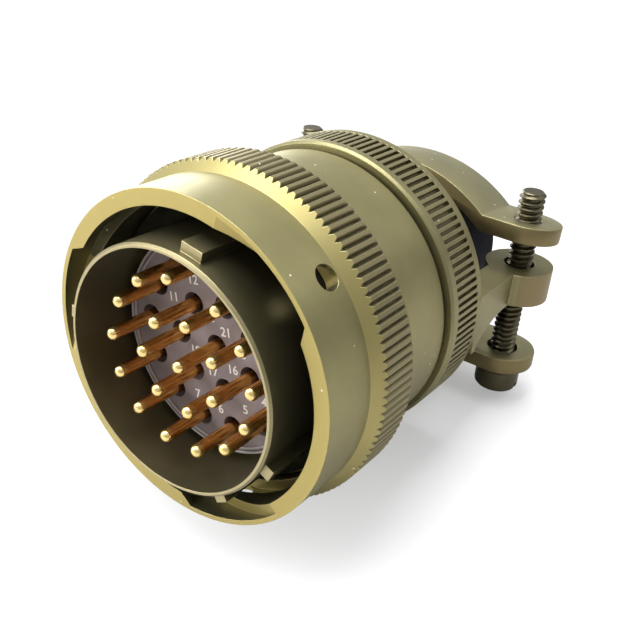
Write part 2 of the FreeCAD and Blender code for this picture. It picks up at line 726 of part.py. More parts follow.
# Slotted clamp screw, head down, with its split lock washer
def clamp_screw(side, sign):
    place = Vector(sign * screw_offset.value, screw_depth.value, 0)
    edge = D["head_edge"]
    body = document.addObject("PartDesign::Body", f"Screw{side}Turned")
    sketch = profile_sketch(body, "XZ_Plane", [
        (ZERO, head_bottom), (head_radius - edge, head_bottom),
        (head_radius, head_bottom + edge), (head_radius, head_seat),
        (D["screw_radius"], head_seat), (D["screw_radius"], screw_tip - edge / 2),
        (D["screw_radius"] - edge / 2, screw_tip), (ZERO, screw_tip)])
    turning = body.newObject("PartDesign::Revolution", f"Screw{side}Revolution")
    turning.Profile = sketch
    turning.ReferenceAxis = (sketch, ["V_Axis"])
    turning.Angle = 360.0
    body.Tip = turning
    slot = document.addObject("Part::Box", f"Screw{side}Slot")
    bind(slot, Length=head_radius * 4, Width=D["slot_width"], Height=D["slot_depth"] * 2)
    slot.Placement = Placement(Vector(-head_radius.value * 2, -D["slot_width"].value / 2,
                                      head_bottom.value - D["slot_depth"].value), Rotation())
    screw = cut(f"Screw{side}", body, slot)
    finish(screw, f"clamp_screw_{side.lower()}")
    screw.Placement = ATTITUDE.multiply(Placement(place, Rotation()))
    washer_body = document.addObject("PartDesign::Body", f"LockWasher{side}")
    outline = profile_sketch(washer_body, "XZ_Plane", [
        (screw_hole_radius, lock_washer_bottom), (lock_washer_radius, lock_washer_bottom),
        (lock_washer_radius, lower_ear_bottom), (screw_hole_radius, lower_ear_bottom)])
    washer = washer_body.newObject("PartDesign::Revolution", f"LockWasher{side}Turned")
    washer.Profile = outline
    washer.ReferenceAxis = (outline, ["V_Axis"])
    washer.Angle = 360.0 - D["lock_washer_split"].value
    washer_body.Tip = washer
    finish(washer_body, f"lock_washer_{side.lower()}")
    washer_body.Placement = ATTITUDE.multiply(Placement(place, Rotation()))


def build():
    plug_shell()
    face_gasket()
    coupling_ring()
    wave_washer()
    thrust_washer()
    retaining_ring()
    contact_insert()
    for letter, place in contact_places():
        contact(letter, place)
    wire_grommet()
    grommet_follower()
    rear_sleeve()
    clamp_body()
    cable_bushing()
    saddles()
    clamp_screw("Near", 1)
    clamp_screw("Far", -1)


def export():
    """Check every object and piece, then write one file for each piece."""
    document.recompute()
    for item in document.Objects:
        if "Invalid" in item.State or "Error" in item.State:
            raise RuntimeError(f"{item.Label} failed: {item.State}")
    for piece in finished:
        if piece.Shape.isNull() or not piece.Shape.isValid():
            raise RuntimeError(f"{piece.Label} has no valid shape")
    for piece in finished:
        piece.Shape.exportStep(f"parts/{piece.Label}.step")
    print(f"{len(finished)} pieces, lying at {rest_angle:.3f} degrees")


build()
export()
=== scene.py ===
"""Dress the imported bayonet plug: its plating, pins, insert, threads and studio.

Pieces are modelled in millimetres about the connector's own axis, where Y runs from the mating rim
to the cable clamp and Z along the clamp screws, and are then settled into the lying frame. A size
is in millimetres, and an angle in radians, unless its note says otherwise.
"""

import json
import logging
import math
from dataclasses import dataclass, field
from enum import Enum
from typing import Iterator, Sequence

import bpy
from bpy.types import ID, Material, Node, NodeSocket, NodeTree, Object
from mathutils import Matrix, Vector


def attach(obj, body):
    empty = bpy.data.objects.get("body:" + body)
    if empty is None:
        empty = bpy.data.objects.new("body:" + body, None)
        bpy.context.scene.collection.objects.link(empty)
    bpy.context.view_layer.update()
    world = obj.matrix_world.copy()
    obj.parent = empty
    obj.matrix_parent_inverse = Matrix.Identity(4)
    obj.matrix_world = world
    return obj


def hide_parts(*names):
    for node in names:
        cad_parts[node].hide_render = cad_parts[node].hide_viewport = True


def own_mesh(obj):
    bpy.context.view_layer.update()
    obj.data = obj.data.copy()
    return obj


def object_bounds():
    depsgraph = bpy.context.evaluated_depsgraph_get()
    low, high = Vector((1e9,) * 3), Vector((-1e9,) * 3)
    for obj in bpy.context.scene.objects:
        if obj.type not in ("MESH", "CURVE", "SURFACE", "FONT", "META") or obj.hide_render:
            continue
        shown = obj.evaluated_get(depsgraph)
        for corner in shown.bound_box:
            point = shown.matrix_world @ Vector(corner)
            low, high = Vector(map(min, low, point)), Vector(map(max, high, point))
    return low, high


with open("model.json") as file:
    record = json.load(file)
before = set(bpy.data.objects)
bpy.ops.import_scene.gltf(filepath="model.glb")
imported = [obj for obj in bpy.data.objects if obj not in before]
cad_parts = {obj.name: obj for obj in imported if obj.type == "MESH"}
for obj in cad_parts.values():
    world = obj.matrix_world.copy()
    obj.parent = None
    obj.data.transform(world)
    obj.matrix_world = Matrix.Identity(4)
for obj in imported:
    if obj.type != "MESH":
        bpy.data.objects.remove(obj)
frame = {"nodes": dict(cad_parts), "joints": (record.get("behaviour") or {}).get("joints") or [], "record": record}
CAD_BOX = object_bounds()

MM = 0.001
MERGE = 1e-4  # corners closer than this become one
FLAT = math.radians(0.3)  # faces that meet at less than this become one
SHARP = math.radians(30.0)  # an edge is rounded from this angle
CREASE = math.radians(35.0)  # shading breaks from this angle
SOFT_NOISE = (0.35, 0.65)  # stretches of noise that ramps widen to the full range
WIDE_NOISE = (0.3, 0.7)
WHITE = (1.0, 1.0, 1.0, 1.0)
LOG = logging.getLogger("plug")
Pair = tuple[float, float]
Place = tuple[float, float, float]
Tone = Place


class Body(Enum):
    """The bodies that pieces ride on."""

    SHELL = "shell"
    LOWER = "lower_saddle"
    UPPER = "upper_saddle"
    NEAR_SCREW = "clamp_screw_near"
    FAR_SCREW = "clamp_screw_far"


class Facets:
    """How many facets go round each turned form, or make one turn or nose."""

    FACE = 120
    WELL = 40
    PIN = 28
    NOSE = 6
    BUSHING = 96
    THREAD = 32
    HEAD = 56
    TIP = 48


class Slot(Enum):
    """The record's material slots."""

    PLATING = "olive_plating"
    CONTACT = "contact_gold"
    SCREW = "dark_steel"
    SPRING = "spring_steel"
    INSERT = "insert_plastic"
    SEAL = "seal_rubber"


@dataclass(frozen=True)
class PlugFrame:
    """The connector's own axes within the lying frame.

    Args:
        rear: direction from the mating rim to the cable clamp.
        top: direction along the clamp screws, away from their heads.
        mounts: the record's mounts by name.
    """

    rear: Vector
    top: Vector
    mounts: dict

    def matrix(self) -> Matrix:
        """Return the turn from the connector's axes to the lying frame."""
        side = self.rear.cross(self.top)
        return Matrix((side, self.rear, self.top)).transposed().to_4x4()

    def tilt(self) -> float:
        """Return the angle in radians at which the connector's axis dips towards its clamp."""
        return math.atan2(-self.rear.z, self.rear.y)

    def extent(self, node: str) -> tuple[Vector, Vector]:
        """Return a node's lowest and highest corners about the connector's axes.

        Args:
            node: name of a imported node.

        Returns:
            The two corners, each as side, depth and height.
        """
        back = self.matrix().inverted()
        points = [back @ vertex.co / MM for vertex in frame["nodes"][node].data.vertices]
        low = Vector([min(point[axis] for point in points) for axis in range(3)])
        high = Vector([max(point[axis] for point in points) for axis in range(3)])
        return low, high

    def pin_size(self) -> Pair:
        """Return the contacts' pin radius and the depth of their shoulders."""
        pin = self.mounts["centre_contact"]
        centre = self.matrix().inverted() @ Vector(pin["pos_m"]) / MM
        return pin["dims"]["r_mm"], centre.y + pin["dims"]["length_mm"] / 2


def read_plug_frame() -> PlugFrame:
    """Return the connector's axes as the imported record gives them."""
    mounts = {mount["name"]: mount for mount in frame["record"]["mounts"]}
    joints = {joint["name"]: joint for joint in frame["joints"]}
    rear = -Vector(mounts["mating_end"]["axis"]).normalized()
    top = Vector(joints["lower_saddle_travel"]["axis"]).normalized()
    return PlugFrame(rear, top, mounts)


PLUG = read_plug_frame()


def deselect() -> None:
    """Leave edit mode and deselect everything."""
    if bpy.context.object and bpy.context.object.mode != "OBJECT":
        bpy.ops.object.mode_set(mode="OBJECT")
    bpy.ops.object.select_all(action="DESELECT")


def pick(piece: Object) -> None:
    """Make one object the only selected and active one."""
    deselect()
    piece.select_set(True)
    bpy.context.view_layer.objects.active = piece


def outline(points: Sequence[Place]) -> Object:
    """Draw a chain of edges, corner by corner.

    Args:
        points: the corners in order. A closed chain repeats its first corner at its end.

    Returns:
        The chain, in edit mode.
    """
    deselect()
    bpy.ops.mesh.primitive_plane_add(size=1.0)
    chain = bpy.context.object
    bpy.ops.object.mode_set(mode="EDIT")
    bpy.ops.mesh.merge(type="CENTER")
    previous = Vector((0.0, 0.0, 0.0))
    bpy.ops.transform.translate(value=Vector(points[0]) - previous)
    previous = Vector(points[0])
    for point in points[1:]:
        step = Vector(point) - previous
        bpy.ops.mesh.extrude_region_move(TRANSFORM_OT_translate={"value": step})
        previous = Vector(point)
    return chain


def close_up() -> None:
    """Merge doubled corners of the mesh in edit mode and turn its faces outwards."""
    bpy.ops.mesh.select_all(action="SELECT")
    bpy.ops.mesh.remove_doubles(threshold=MERGE)
    bpy.ops.mesh.normals_make_consistent(inside=False)
    bpy.ops.object.mode_set(mode="OBJECT")


def lathe(profile: Sequence[Pair], steps: int, upright: bool = False) -> Object:
    """Turn an outline about an axis.

    Args:
        profile: pairs of radius and distance along the axis.
        steps: facets round the axis.
        upright: whether the axis is the screws' Z and not the connector's Y.

    Returns:
        The turned mesh.
    """
    points = [(r, 0.0, d) if upright else (r, d, 0.0) for r, d in profile]
    piece = outline(points)
    bpy.ops.mesh.select_all(action="SELECT")
    axis = (0.0, 0.0, 1.0) if upright else (0.0, 1.0, 0.0)
    bpy.ops.mesh.spin(steps=steps, angle=math.tau, center=(0.0, 0.0, 0.0), axis=axis,
                      use_auto_merge=False)
    close_up()
    return piece


def modify(piece: Object, kind: str, **settings: object) -> None:
    """Add a modifier, set it up and apply it.

    Args:
        piece: the mesh to change.
        kind: the modifier's type.
        settings: its properties by name.
    """
    pick(piece)
    modifier = piece.modifiers.new(kind.title(), kind)
    for name, value in settings.items():
        setattr(modifier, name, value)
    bpy.ops.object.modifier_apply(modifier=modifier.name)


def combine(piece: Object, tool: Object, operation: str) -> None:
    """Cut, join or intersect a mesh with a tool, and remove the tool."""
    modify(piece, "BOOLEAN", operation=operation, object=tool, solver="EXACT")
    bpy.data.objects.remove(tool)


def joined(pieces: Sequence[Object]) -> Object:
    """Join meshes.

    Args:
        pieces: the meshes.

    Returns:
        The first of them, which holds them all.
    """
    pick(pieces[0])
    for piece in pieces:
        piece.select_set(True)
    bpy.ops.object.join()
    return bpy.context.object


def smooth(piece: Object, angle: float = CREASE) -> None:
    """Shade a mesh smooth, apart from edges sharper than an angle."""
    pick(piece)
    bpy.ops.object.shade_smooth_by_angle(angle=angle)


def copied(piece: Object, offset: Vector) -> Object:
    """Copy a mesh with data of its own.

    Args:
        piece: the mesh.
        offset: how far the copy is moved.

    Returns:
        The copy.
    """
    copy = piece.copy()
    copy.data = piece.data.copy()
    bpy.context.scene.collection.objects.link(copy)
    pick(copy)
    copy.location = offset
    bpy.ops.object.transform_apply(location=True, rotation=False, scale=False)
    return copy


def settle(piece: Object, name: str) -> Object:
    """Lay a finished piece into the frame, in metres, with its place in its mesh.

    Args:
        piece: a mesh about the connector's axes.
        name: the piece's name.

    Returns:
        The same piece.
    """
    piece.name = name
    piece.data.name = name
    pick(piece)
    bpy.ops.object.transform_apply(location=True, rotation=True, scale=True)
    piece.matrix_world = PLUG.matrix() @ Matrix.Scale(MM, 4)
    bpy.ops.object.transform_apply(location=True, rotation=True, scale=True)
    return piece


def rounded_copy(node: str, name: str, width: float) -> Object:
    """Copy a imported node's mesh and round its edges.

    Args:
        node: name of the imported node.
        name: the copy's name.
        width: width of the rounding.

    Returns:
        The rounded mesh, in the frame's metres.
    """
    piece = bpy.data.objects.new(name, frame["nodes"][node].data.copy())
    bpy.context.scene.collection.objects.link(piece)
    piece.data.materials.clear()
    pick(piece)
    bpy.ops.object.mode_set(mode="EDIT")
    bpy.ops.mesh.select_all(action="SELECT")
    bpy.ops.mesh.customdata_custom_splitnormals_clear()
    bpy.ops.mesh.remove_doubles(threshold=MERGE * MM)
    bpy.ops.mesh.dissolve_limited(angle_limit=FLAT)
    bpy.ops.mesh.normals_make_consistent(inside=False)
    bpy.ops.object.mode_set(mode="OBJECT")
    modify(piece, "BEVEL", width=width * MM, segments=2, limit_method="ANGLE",
           angle_limit=SHARP, miter_outer="MITER_ARC")
    smooth(piece, SHARP)
    return piece


def enlist(piece: Object, body: Body, slot: Slot, material: Material,
           replaces: Sequence[str] = ()) -> None:
    """Give a finished piece its finish, its body and the node it stands for.

    Args:
        piece: the finished mesh.
        body: the body it rides on.
        slot: the record's slot of its finish; not used.
        material: its material.
        replaces: nodes that it stands for.
    """
    piece.data.materials.clear()
    piece.data.materials.append(material)
    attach(piece, body.value)
    if replaces:
        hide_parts(*replaces)
    LOG.info("%s rides on %s, %d faces", piece.name, body.value, len(piece.data.polygons))


def dress_node(node: str, material: Material) -> None:
    """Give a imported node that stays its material.

    Args:
        node: the node's name.
        material: its material.
    """
    mesh = frame["nodes"][node].data
    mesh.materials.clear()
    mesh.materials.append(material)
    LOG.info("%s keeps its form", node)


def opaque(tone: Tone, share: float = 1.0) -> tuple[float, float, float, float]:
    """Return a tone, or a share of it, as an opaque colour."""
    return tuple(part * share for part in tone) + (1.0,)


class Graph:
    """A short way to lay out a tree of shader nodes.

    Args:
        tree: the tree.

    Attributes:
        MIX: numbers of a mix node's sockets for the share and the two colours.
        MIXED: number of its result's socket.
        EDGE: likeness of the true and the softened direction, on a flat and on a sharp edge.
        PATCH_DETAIL: levels of detail in soft patches.
    """

    MIX = (0, 6, 7)
    MIXED = 2
    EDGE = (0.98, 0.8)
    PATCH_DETAIL = 4.0

    def __init__(self, tree: NodeTree) -> None:
        """Take a tree as it stands."""
        self.tree = tree

    def add(self, kind: str, inputs: dict | None = None, **settings: object) -> Node:
        """Add a node.

        Args:
            kind: the node's type name, without its leading ShaderNode.
            inputs: socket names or numbers, each with a value or an output to link.
            settings: the node's own properties.

        Returns:
            The node.
        """
        node = self.tree.nodes.new(f"ShaderNode{kind}")
        for name, value in settings.items():
            setattr(node, name, value)
        for name, value in (inputs or {}).items():
            self.feed(node.inputs[name], value)
        return node

    def feed(self, socket: NodeSocket, value: object) -> None:
        """Link an output to a socket, or set the socket's value.

        Args:
            socket: the socket.
            value: the output or the value.
        """
        if isinstance(value, NodeSocket):
            self.tree.links.new(value, socket)
        else:
            socket.default_value = value

    def math(self, operation: str, first: object, second: object) -> NodeSocket:
        """Return the result of a math node."""
        return self.add("Math", {0: first, 1: second}, operation=operation).outputs[0]

    def mix(self, share: object, first: object, second: object) -> NodeSocket:
        """Return a colour mixed from two."""
        inputs = dict(zip(self.MIX, (share, first, second)))
        return self.add("Mix", inputs, data_type="RGBA").outputs[self.MIXED]

    def ramp(self, value: object, low: float, high: float, start: float = 0.0, end: float = 1.0
             ) -> NodeSocket:
        """Return a value mapped from one range to another, and held within it."""
        inputs = {"Value": value, "From Min": low, "From Max": high, "To Min": start,
                  "To Max": end}
        return self.add("MapRange", inputs).outputs[0]

    def noise(self, place: NodeSocket, scale: float, detail: float = 3.0) -> NodeSocket:
        """Return noise from 0 to 1 at a scale in features per millimetre."""
        inputs = {"Vector": place, "Scale": scale, "Detail": detail}
        return self.add("TexNoise", inputs).outputs["Fac"]

    def patches(self, place: NodeSocket, scale: float, span: Pair = SOFT_NOISE) -> NodeSocket:
        """Return soft patches from 0 to 1 at a scale, from the span of noise that they show."""
        return self.ramp(self.noise(place, scale, self.PATCH_DETAIL), *span)

    def place(self) -> NodeSocket:
        """Return the place about the connector's axes."""
        coordinates = self.add("TexCoord").outputs["Object"]
        inputs = {"Vector": coordinates, "Rotation": (PLUG.tilt(), 0.0, 0.0),
                  "Scale": (1 / MM, 1 / MM, 1 / MM)}
        return self.add("Mapping", inputs).outputs[0]

    def facing(self, direction: Vector) -> NodeSocket:
        """Compare the surface's direction with another.

        Args:
            direction: the other direction.

        Returns:
            How far the surface faces it, from 0 to 1.
        """
        normal = self.add("TexCoord").outputs["Normal"]
        dot = self.add("VectorMath", {0: normal, 1: direction}, operation="DOT_PRODUCT")
        return self.math("MAXIMUM", dot.outputs["Value"], 0.0)

    def rounded(self, width: float) -> NodeSocket:
        """Return the surface's direction, softened within a width of edges."""
        return self.add("Bevel", {"Radius": width * MM}, samples=6).outputs[0]

    def edges(self, rounded: NodeSocket) -> NodeSocket:
        """Find the surface's edges.

        Args:
            rounded: the surface's direction, softened at edges.

        Returns:
            1 on sharp edges and 0 on flat surfaces.
        """
        true = self.add("NewGeometry").outputs["True Normal"]
        dot = self.add("VectorMath", {0: rounded, 1: true}, operation="DOT_PRODUCT")
        return self.ramp(dot.outputs["Value"], *self.EDGE)

    def about_axis(self, place: NodeSocket) -> tuple[NodeSocket, NodeSocket]:
        """Split a place into its distances from and along the connector's axis.

        Args:
            place: the place.

        Returns:
            The radius and the depth.
        """
        parts = self.add("SeparateXYZ", {0: place}).outputs
        across = self.add("CombineXYZ", {0: parts["X"], 1: parts["Z"]}).outputs[0]
        radius = self.add("VectorMath", {0: across}, operation="LENGTH").outputs["Value"]
        return radius, parts["Y"]


class MaterialGraph(Graph):
    """The nodes of a new material about its main shader.

    Args:
        name: the material's name.
    """

    def __init__(self, name: str) -> None:
        """Make the material."""
        self.material = bpy.data.materials.new(name)
        self.material.use_nodes = True
        super().__init__(self.material.node_tree)
        self.shader = self.tree.nodes["Principled BSDF"]

    def put(self, **inputs: object) -> None:
        """Feed the main shader's sockets, named with underscores for spaces."""
        for name, value in inputs.items():
            self.feed(self.shader.inputs[name.replace("_", " ")], value)


@dataclass(frozen=True)
class Grooves:
    """A belt of fine grooves, with painted shade on their floors.

    Args:
        front: depth at which the belt starts.
        rear: depth at which it ends.
        floor: radius of the grooves' floors.
        crest: radius of the crests between them.
        tone: colour on the crests.
        shade: colour on the floors.
    """

    front: float
    rear: float
    floor: float
    crest: float
    tone: Tone
    shade: Tone

    def painted(self, graph: Graph, colour: NodeSocket, radius: NodeSocket,
                depth: NodeSocket) -> NodeSocket:
        """Paint the belt.

        Args:
            graph: the material's nodes.
            colour: colour outside the belt.
            radius: radius about the axis.
            depth: depth along it.

        Returns:
            The colour with the belt's colours in their place.
        """
        # painted shade: the floors get the darker colour, the crests the tone
        height = graph.ramp(radius, self.floor + 0.04, self.crest - 0.06)
        belt = graph.mix(height, opaque(self.shade), opaque(self.tone))
        inside = graph.math("MULTIPLY", graph.math("GREATER_THAN", depth, self.front),
                            graph.math("LESS_THAN", depth, self.rear))
        inside = graph.math("MULTIPLY", inside,
                            graph.math("GREATER_THAN", radius, self.floor - 0.15))
        return graph.mix(inside, colour, belt)


@dataclass(frozen=True)
class Plating:
    """Olive plating on turned or cast metal.

    Args:
        name: the finish's name.
        tone: colour of the plating.
        forward: colour of the faces that look towards the mate, a paler yellow painted highlight.
        forward_share: how far those faces take it.
        forward_except: depths between which they don't.
        worn: paler colour on the edges, partly wear and partly a painted highlight.
        roughness: mean roughness.
        wear: how far edges take that colour.
        turned: strength of the fine turning marks about the axis.
        grain: strength of the fine grain.
        speck: radius of the pale specks, as a share of their spacing.
        speck_tone: their colour.
        edge: width of the paler edges.
        grooves: a belt of fine grooves, if the piece has one.
        bore_tone: painted shade, a darker colour on the surfaces within a radius of the axis.
        bore_radius: that radius.
        cut_tone: colour of the edges that are cut along the screws' direction.
        cut_depth: depth from which they have it.
        cut_share: how far they take it.
        dark_share: share of the tone that its darker patches keep.
    """

    name: str
    tone: Tone = (0.30, 0.273, 0.132)
    forward: Tone = (0.52, 0.425, 0.15)
    forward_share: float = 0.0
    forward_except: Pair | None = None
    worn: Tone = (0.62, 0.56, 0.33)
    roughness: float = 0.44
    wear: float = 0.5
    turned: float = 0.25
    grain: float = 0.3
    speck: float = 0.085
    speck_tone: Tone = (0.85, 0.82, 0.7)
    edge: float = 0.12
    grooves: Grooves | None = None
    bore_tone: Tone | None = None
    bore_radius: float = 0.0
    cut_tone: Tone | None = None
    cut_depth: float = 0.0
    cut_share: float = 0.75
    dark_share: float = 0.86

    def material(self) -> Material:
        """Return the material."""
        graph = MaterialGraph(self.name)
        place = graph.place()
        radius, depth = graph.about_axis(place)
        colour = graph.mix(graph.patches(place, 0.16), opaque(self.tone, self.dark_share),
                           opaque(self.tone))
        # painted shade: a darker colour on the surfaces inside the bore radius
        if self.bore_tone:
            inner = graph.math("LESS_THAN", radius, self.bore_radius)
            colour = graph.mix(inner, colour, opaque(self.bore_tone))
        # painted shade on the groove floors
        if self.grooves:
            colour = self.grooves.painted(graph, colour, radius, depth)
        if self.cut_tone:
            flat = graph.math("MAXIMUM", graph.facing(PLUG.top), graph.facing(-PLUG.top))
            cut = graph.math("MULTIPLY", graph.ramp(flat, 0.5, 0.3, 0.0, self.cut_share),
                             graph.math("GREATER_THAN", depth, self.cut_depth))
            colour = graph.mix(cut, colour, opaque(self.cut_tone))
        # painted warm highlight on the faces that look towards the mate
        if self.forward_share:
            forward_highlight = graph.ramp(graph.facing(-PLUG.rear), 0.5, 0.97, 0.0, self.forward_share)
            if self.forward_except:
                start, end = self.forward_except
                outside = graph.math("MAXIMUM", graph.math("LESS_THAN", depth, start),
                                     graph.math("GREATER_THAN", depth, end))
                forward_highlight = graph.math("MULTIPLY", forward_highlight, outside)
            colour = graph.mix(forward_highlight, colour, opaque(self.forward))
        # paler edges, partly wear and partly a painted highlight
        rounded = graph.rounded(self.edge)
        edge_wear_and_highlight = graph.math("MULTIPLY", graph.edges(rounded),
                            graph.ramp(graph.noise(place, 0.9), 0.3, 0.62, 0.0, self.wear))
        colour = graph.mix(edge_wear_and_highlight, colour, opaque(self.worn))
        cells = graph.add("TexVoronoi", {"Vector": place, "Scale": 0.7})
        chance = graph.add("SeparateColor", {0: cells.outputs["Color"]}).outputs[0]
        chosen = graph.math("GREATER_THAN", chance, 0.8)
        near = graph.math("LESS_THAN", cells.outputs["Distance"], self.speck)
        colour = graph.mix(graph.math("MULTIPLY", chosen, near), colour, opaque(self.speck_tone))
        fine = graph.noise(place, 9.0, 2.0)
        rings = graph.add("CombineXYZ", {0: radius, 1: depth}).outputs[0]
        lines = graph.noise(rings, 5.0, 2.0)
        rough = graph.math("ADD", self.roughness - 0.07, graph.math("MULTIPLY", fine, 0.14))
        rough = graph.math("SUBTRACT", rough, graph.math("MULTIPLY", edge_wear_and_highlight, 0.12))
        height = graph.math("ADD", graph.math("MULTIPLY", fine, self.grain),
                            graph.math("MULTIPLY", lines, self.turned))
        bump = graph.add("Bump", {"Height": height, "Strength": 0.35, "Distance": 0.012 * MM,
                                  "Normal": rounded})
        graph.put(Base_Color=colour, Metallic=0.88, Roughness=rough, Normal=bump.outputs[0])
        return graph.material


@dataclass(frozen=True)
class ContactGold:
    """Gold plating on the contacts, paler at their noses, with painted shade deep in their cavities.

    Args:
        name: the finish's name.
        shaft: colour along the shaft.
        nose: colour at the nose.
        nose_depth: depth up to which the nose's colour runs.
        shadow_depth: depth from which the contact takes painted shade in its cavity.
        dull: colour of the painted shade in the cavity.
        dark_share: share of the shaft's colour that its darker streaks keep.
        gloss: roughness of the brightest and the dullest streaks.
    """

    name: str
    shaft: Tone = (0.88, 0.46, 0.13)
    nose: Tone = (0.96, 0.73, 0.31)
    nose_depth: float = 2.4
    shadow_depth: float = 9.0
    dull: Tone = (0.03, 0.018, 0.008)
    dark_share: float = 0.88
    gloss: Pair = (0.2, 0.3)

    def material(self) -> Material:
        """Return the material."""
        graph = MaterialGraph(self.name)
        place = graph.place()
        depth = graph.add("SeparateXYZ", {0: place}).outputs["Y"]
        along = graph.add("VectorMath", {0: place, 1: (0.55, 0.12, 0.55)}, operation="MULTIPLY")
        streak = graph.noise(along.outputs[0], 1.4, 1.5)
        colour = graph.mix(graph.ramp(streak, *SOFT_NOISE), opaque(self.shaft, self.dark_share),
                           opaque(self.shaft))
        at_nose = graph.ramp(depth, self.nose_depth + 0.4, self.nose_depth)
        colour = graph.mix(at_nose, colour, opaque(self.nose))
        # painted shade on the contact deep in its cavity
        sunk = graph.ramp(depth, self.shadow_depth - 0.5, self.shadow_depth + 0.6)
        colour = graph.mix(sunk, colour, opaque(self.dull))
        graph.put(Base_Color=colour, Metallic=1.0,
                  Roughness=graph.ramp(streak, *WIDE_NOISE, *self.gloss))
        return graph.material


@dataclass(frozen=True)
class DarkSteel:
    """Dark bronze tinted steel of the screws and washers, paler on its crests from wear and from a painted
    highlight.

    Args:
        name: the finish's name.
        tone: colour in the grooves.
        worn: colour on the crests, partly wear and partly a painted highlight.
        wear: how far the crests take that colour.
        gloss: roughness of the darkest and the palest patches.
    """

    name: str
    tone: Tone = (0.085, 0.075, 0.045)
    worn: Tone = (0.46, 0.42, 0.30)
    wear: float = 0.8
    gloss: Pair = (0.28, 0.42)

    def material(self) -> Material:
        """Return the material."""
        graph = MaterialGraph(self.name)
        place = graph.place()
        patches = graph.patches(place, 0.8, WIDE_NOISE)
        # paler crests, partly wear and partly a painted highlight
        edge_wear_and_highlight = graph.math("MULTIPLY", graph.edges(graph.rounded(0.1)),
                            graph.math("MULTIPLY", patches, self.wear))
        colour = graph.mix(patches, opaque(self.tone), opaque(self.tone, 1.3))
        colour = graph.mix(edge_wear_and_highlight, colour, opaque(self.worn))
        bump = graph.add("Bump", {"Height": graph.noise(place, 7.0), "Strength": 0.3,
                                  "Distance": 0.01 * MM})
        graph.put(Base_Color=colour, Metallic=0.95, Normal=bump.outputs[0],
                  Roughness=graph.ramp(patches, 0.0, 1.0, *self.gloss))
        return graph.material


@dataclass(frozen=True)
class Moulded:
    """Moulded plastic or rubber, or print on it.

    Args:
        name: the finish's name.
        tone: its colour.
        shade: its second colour, in soft patches.
        roughness: mean roughness.
        grain: strength of the fine grain.
        gloss: specular level.
        raised: colour of the raised parts, a painted highlight.
        raised_depth: depth in front of which the surface is raised and takes the painted highlight.
    """

    name: str
    tone: Tone
    shade: Tone
    roughness: float = 0.5
    grain: float = 0.3
    gloss: float = 0.5
    raised: Tone | None = None
    raised_depth: float = 0.0

    def material(self) -> Material:
        """Return the material."""
        graph = MaterialGraph(self.name)
        place = graph.place()
        fine = graph.noise(place, 6.0)
        colour = graph.mix(graph.patches(place, 0.35), opaque(self.tone), opaque(self.shade))
        # painted highlight on the raised parts
        if self.raised:
            ahead = graph.math("LESS_THAN", graph.about_axis(place)[1], self.raised_depth)
            colour = graph.mix(ahead, colour, opaque(self.raised))
        bump = graph.add("Bump", {"Height": fine, "Strength": self.grain,
                                  "Distance": 0.02 * MM})
        rough = graph.ramp(fine, *WIDE_NOISE, self.roughness - 0.06, self.roughness + 0.06)
        graph.put(Base_Color=colour, Roughness=rough, Normal=bump.outputs[0],
                  Specular_IOR_Level=self.gloss)
        return graph.material


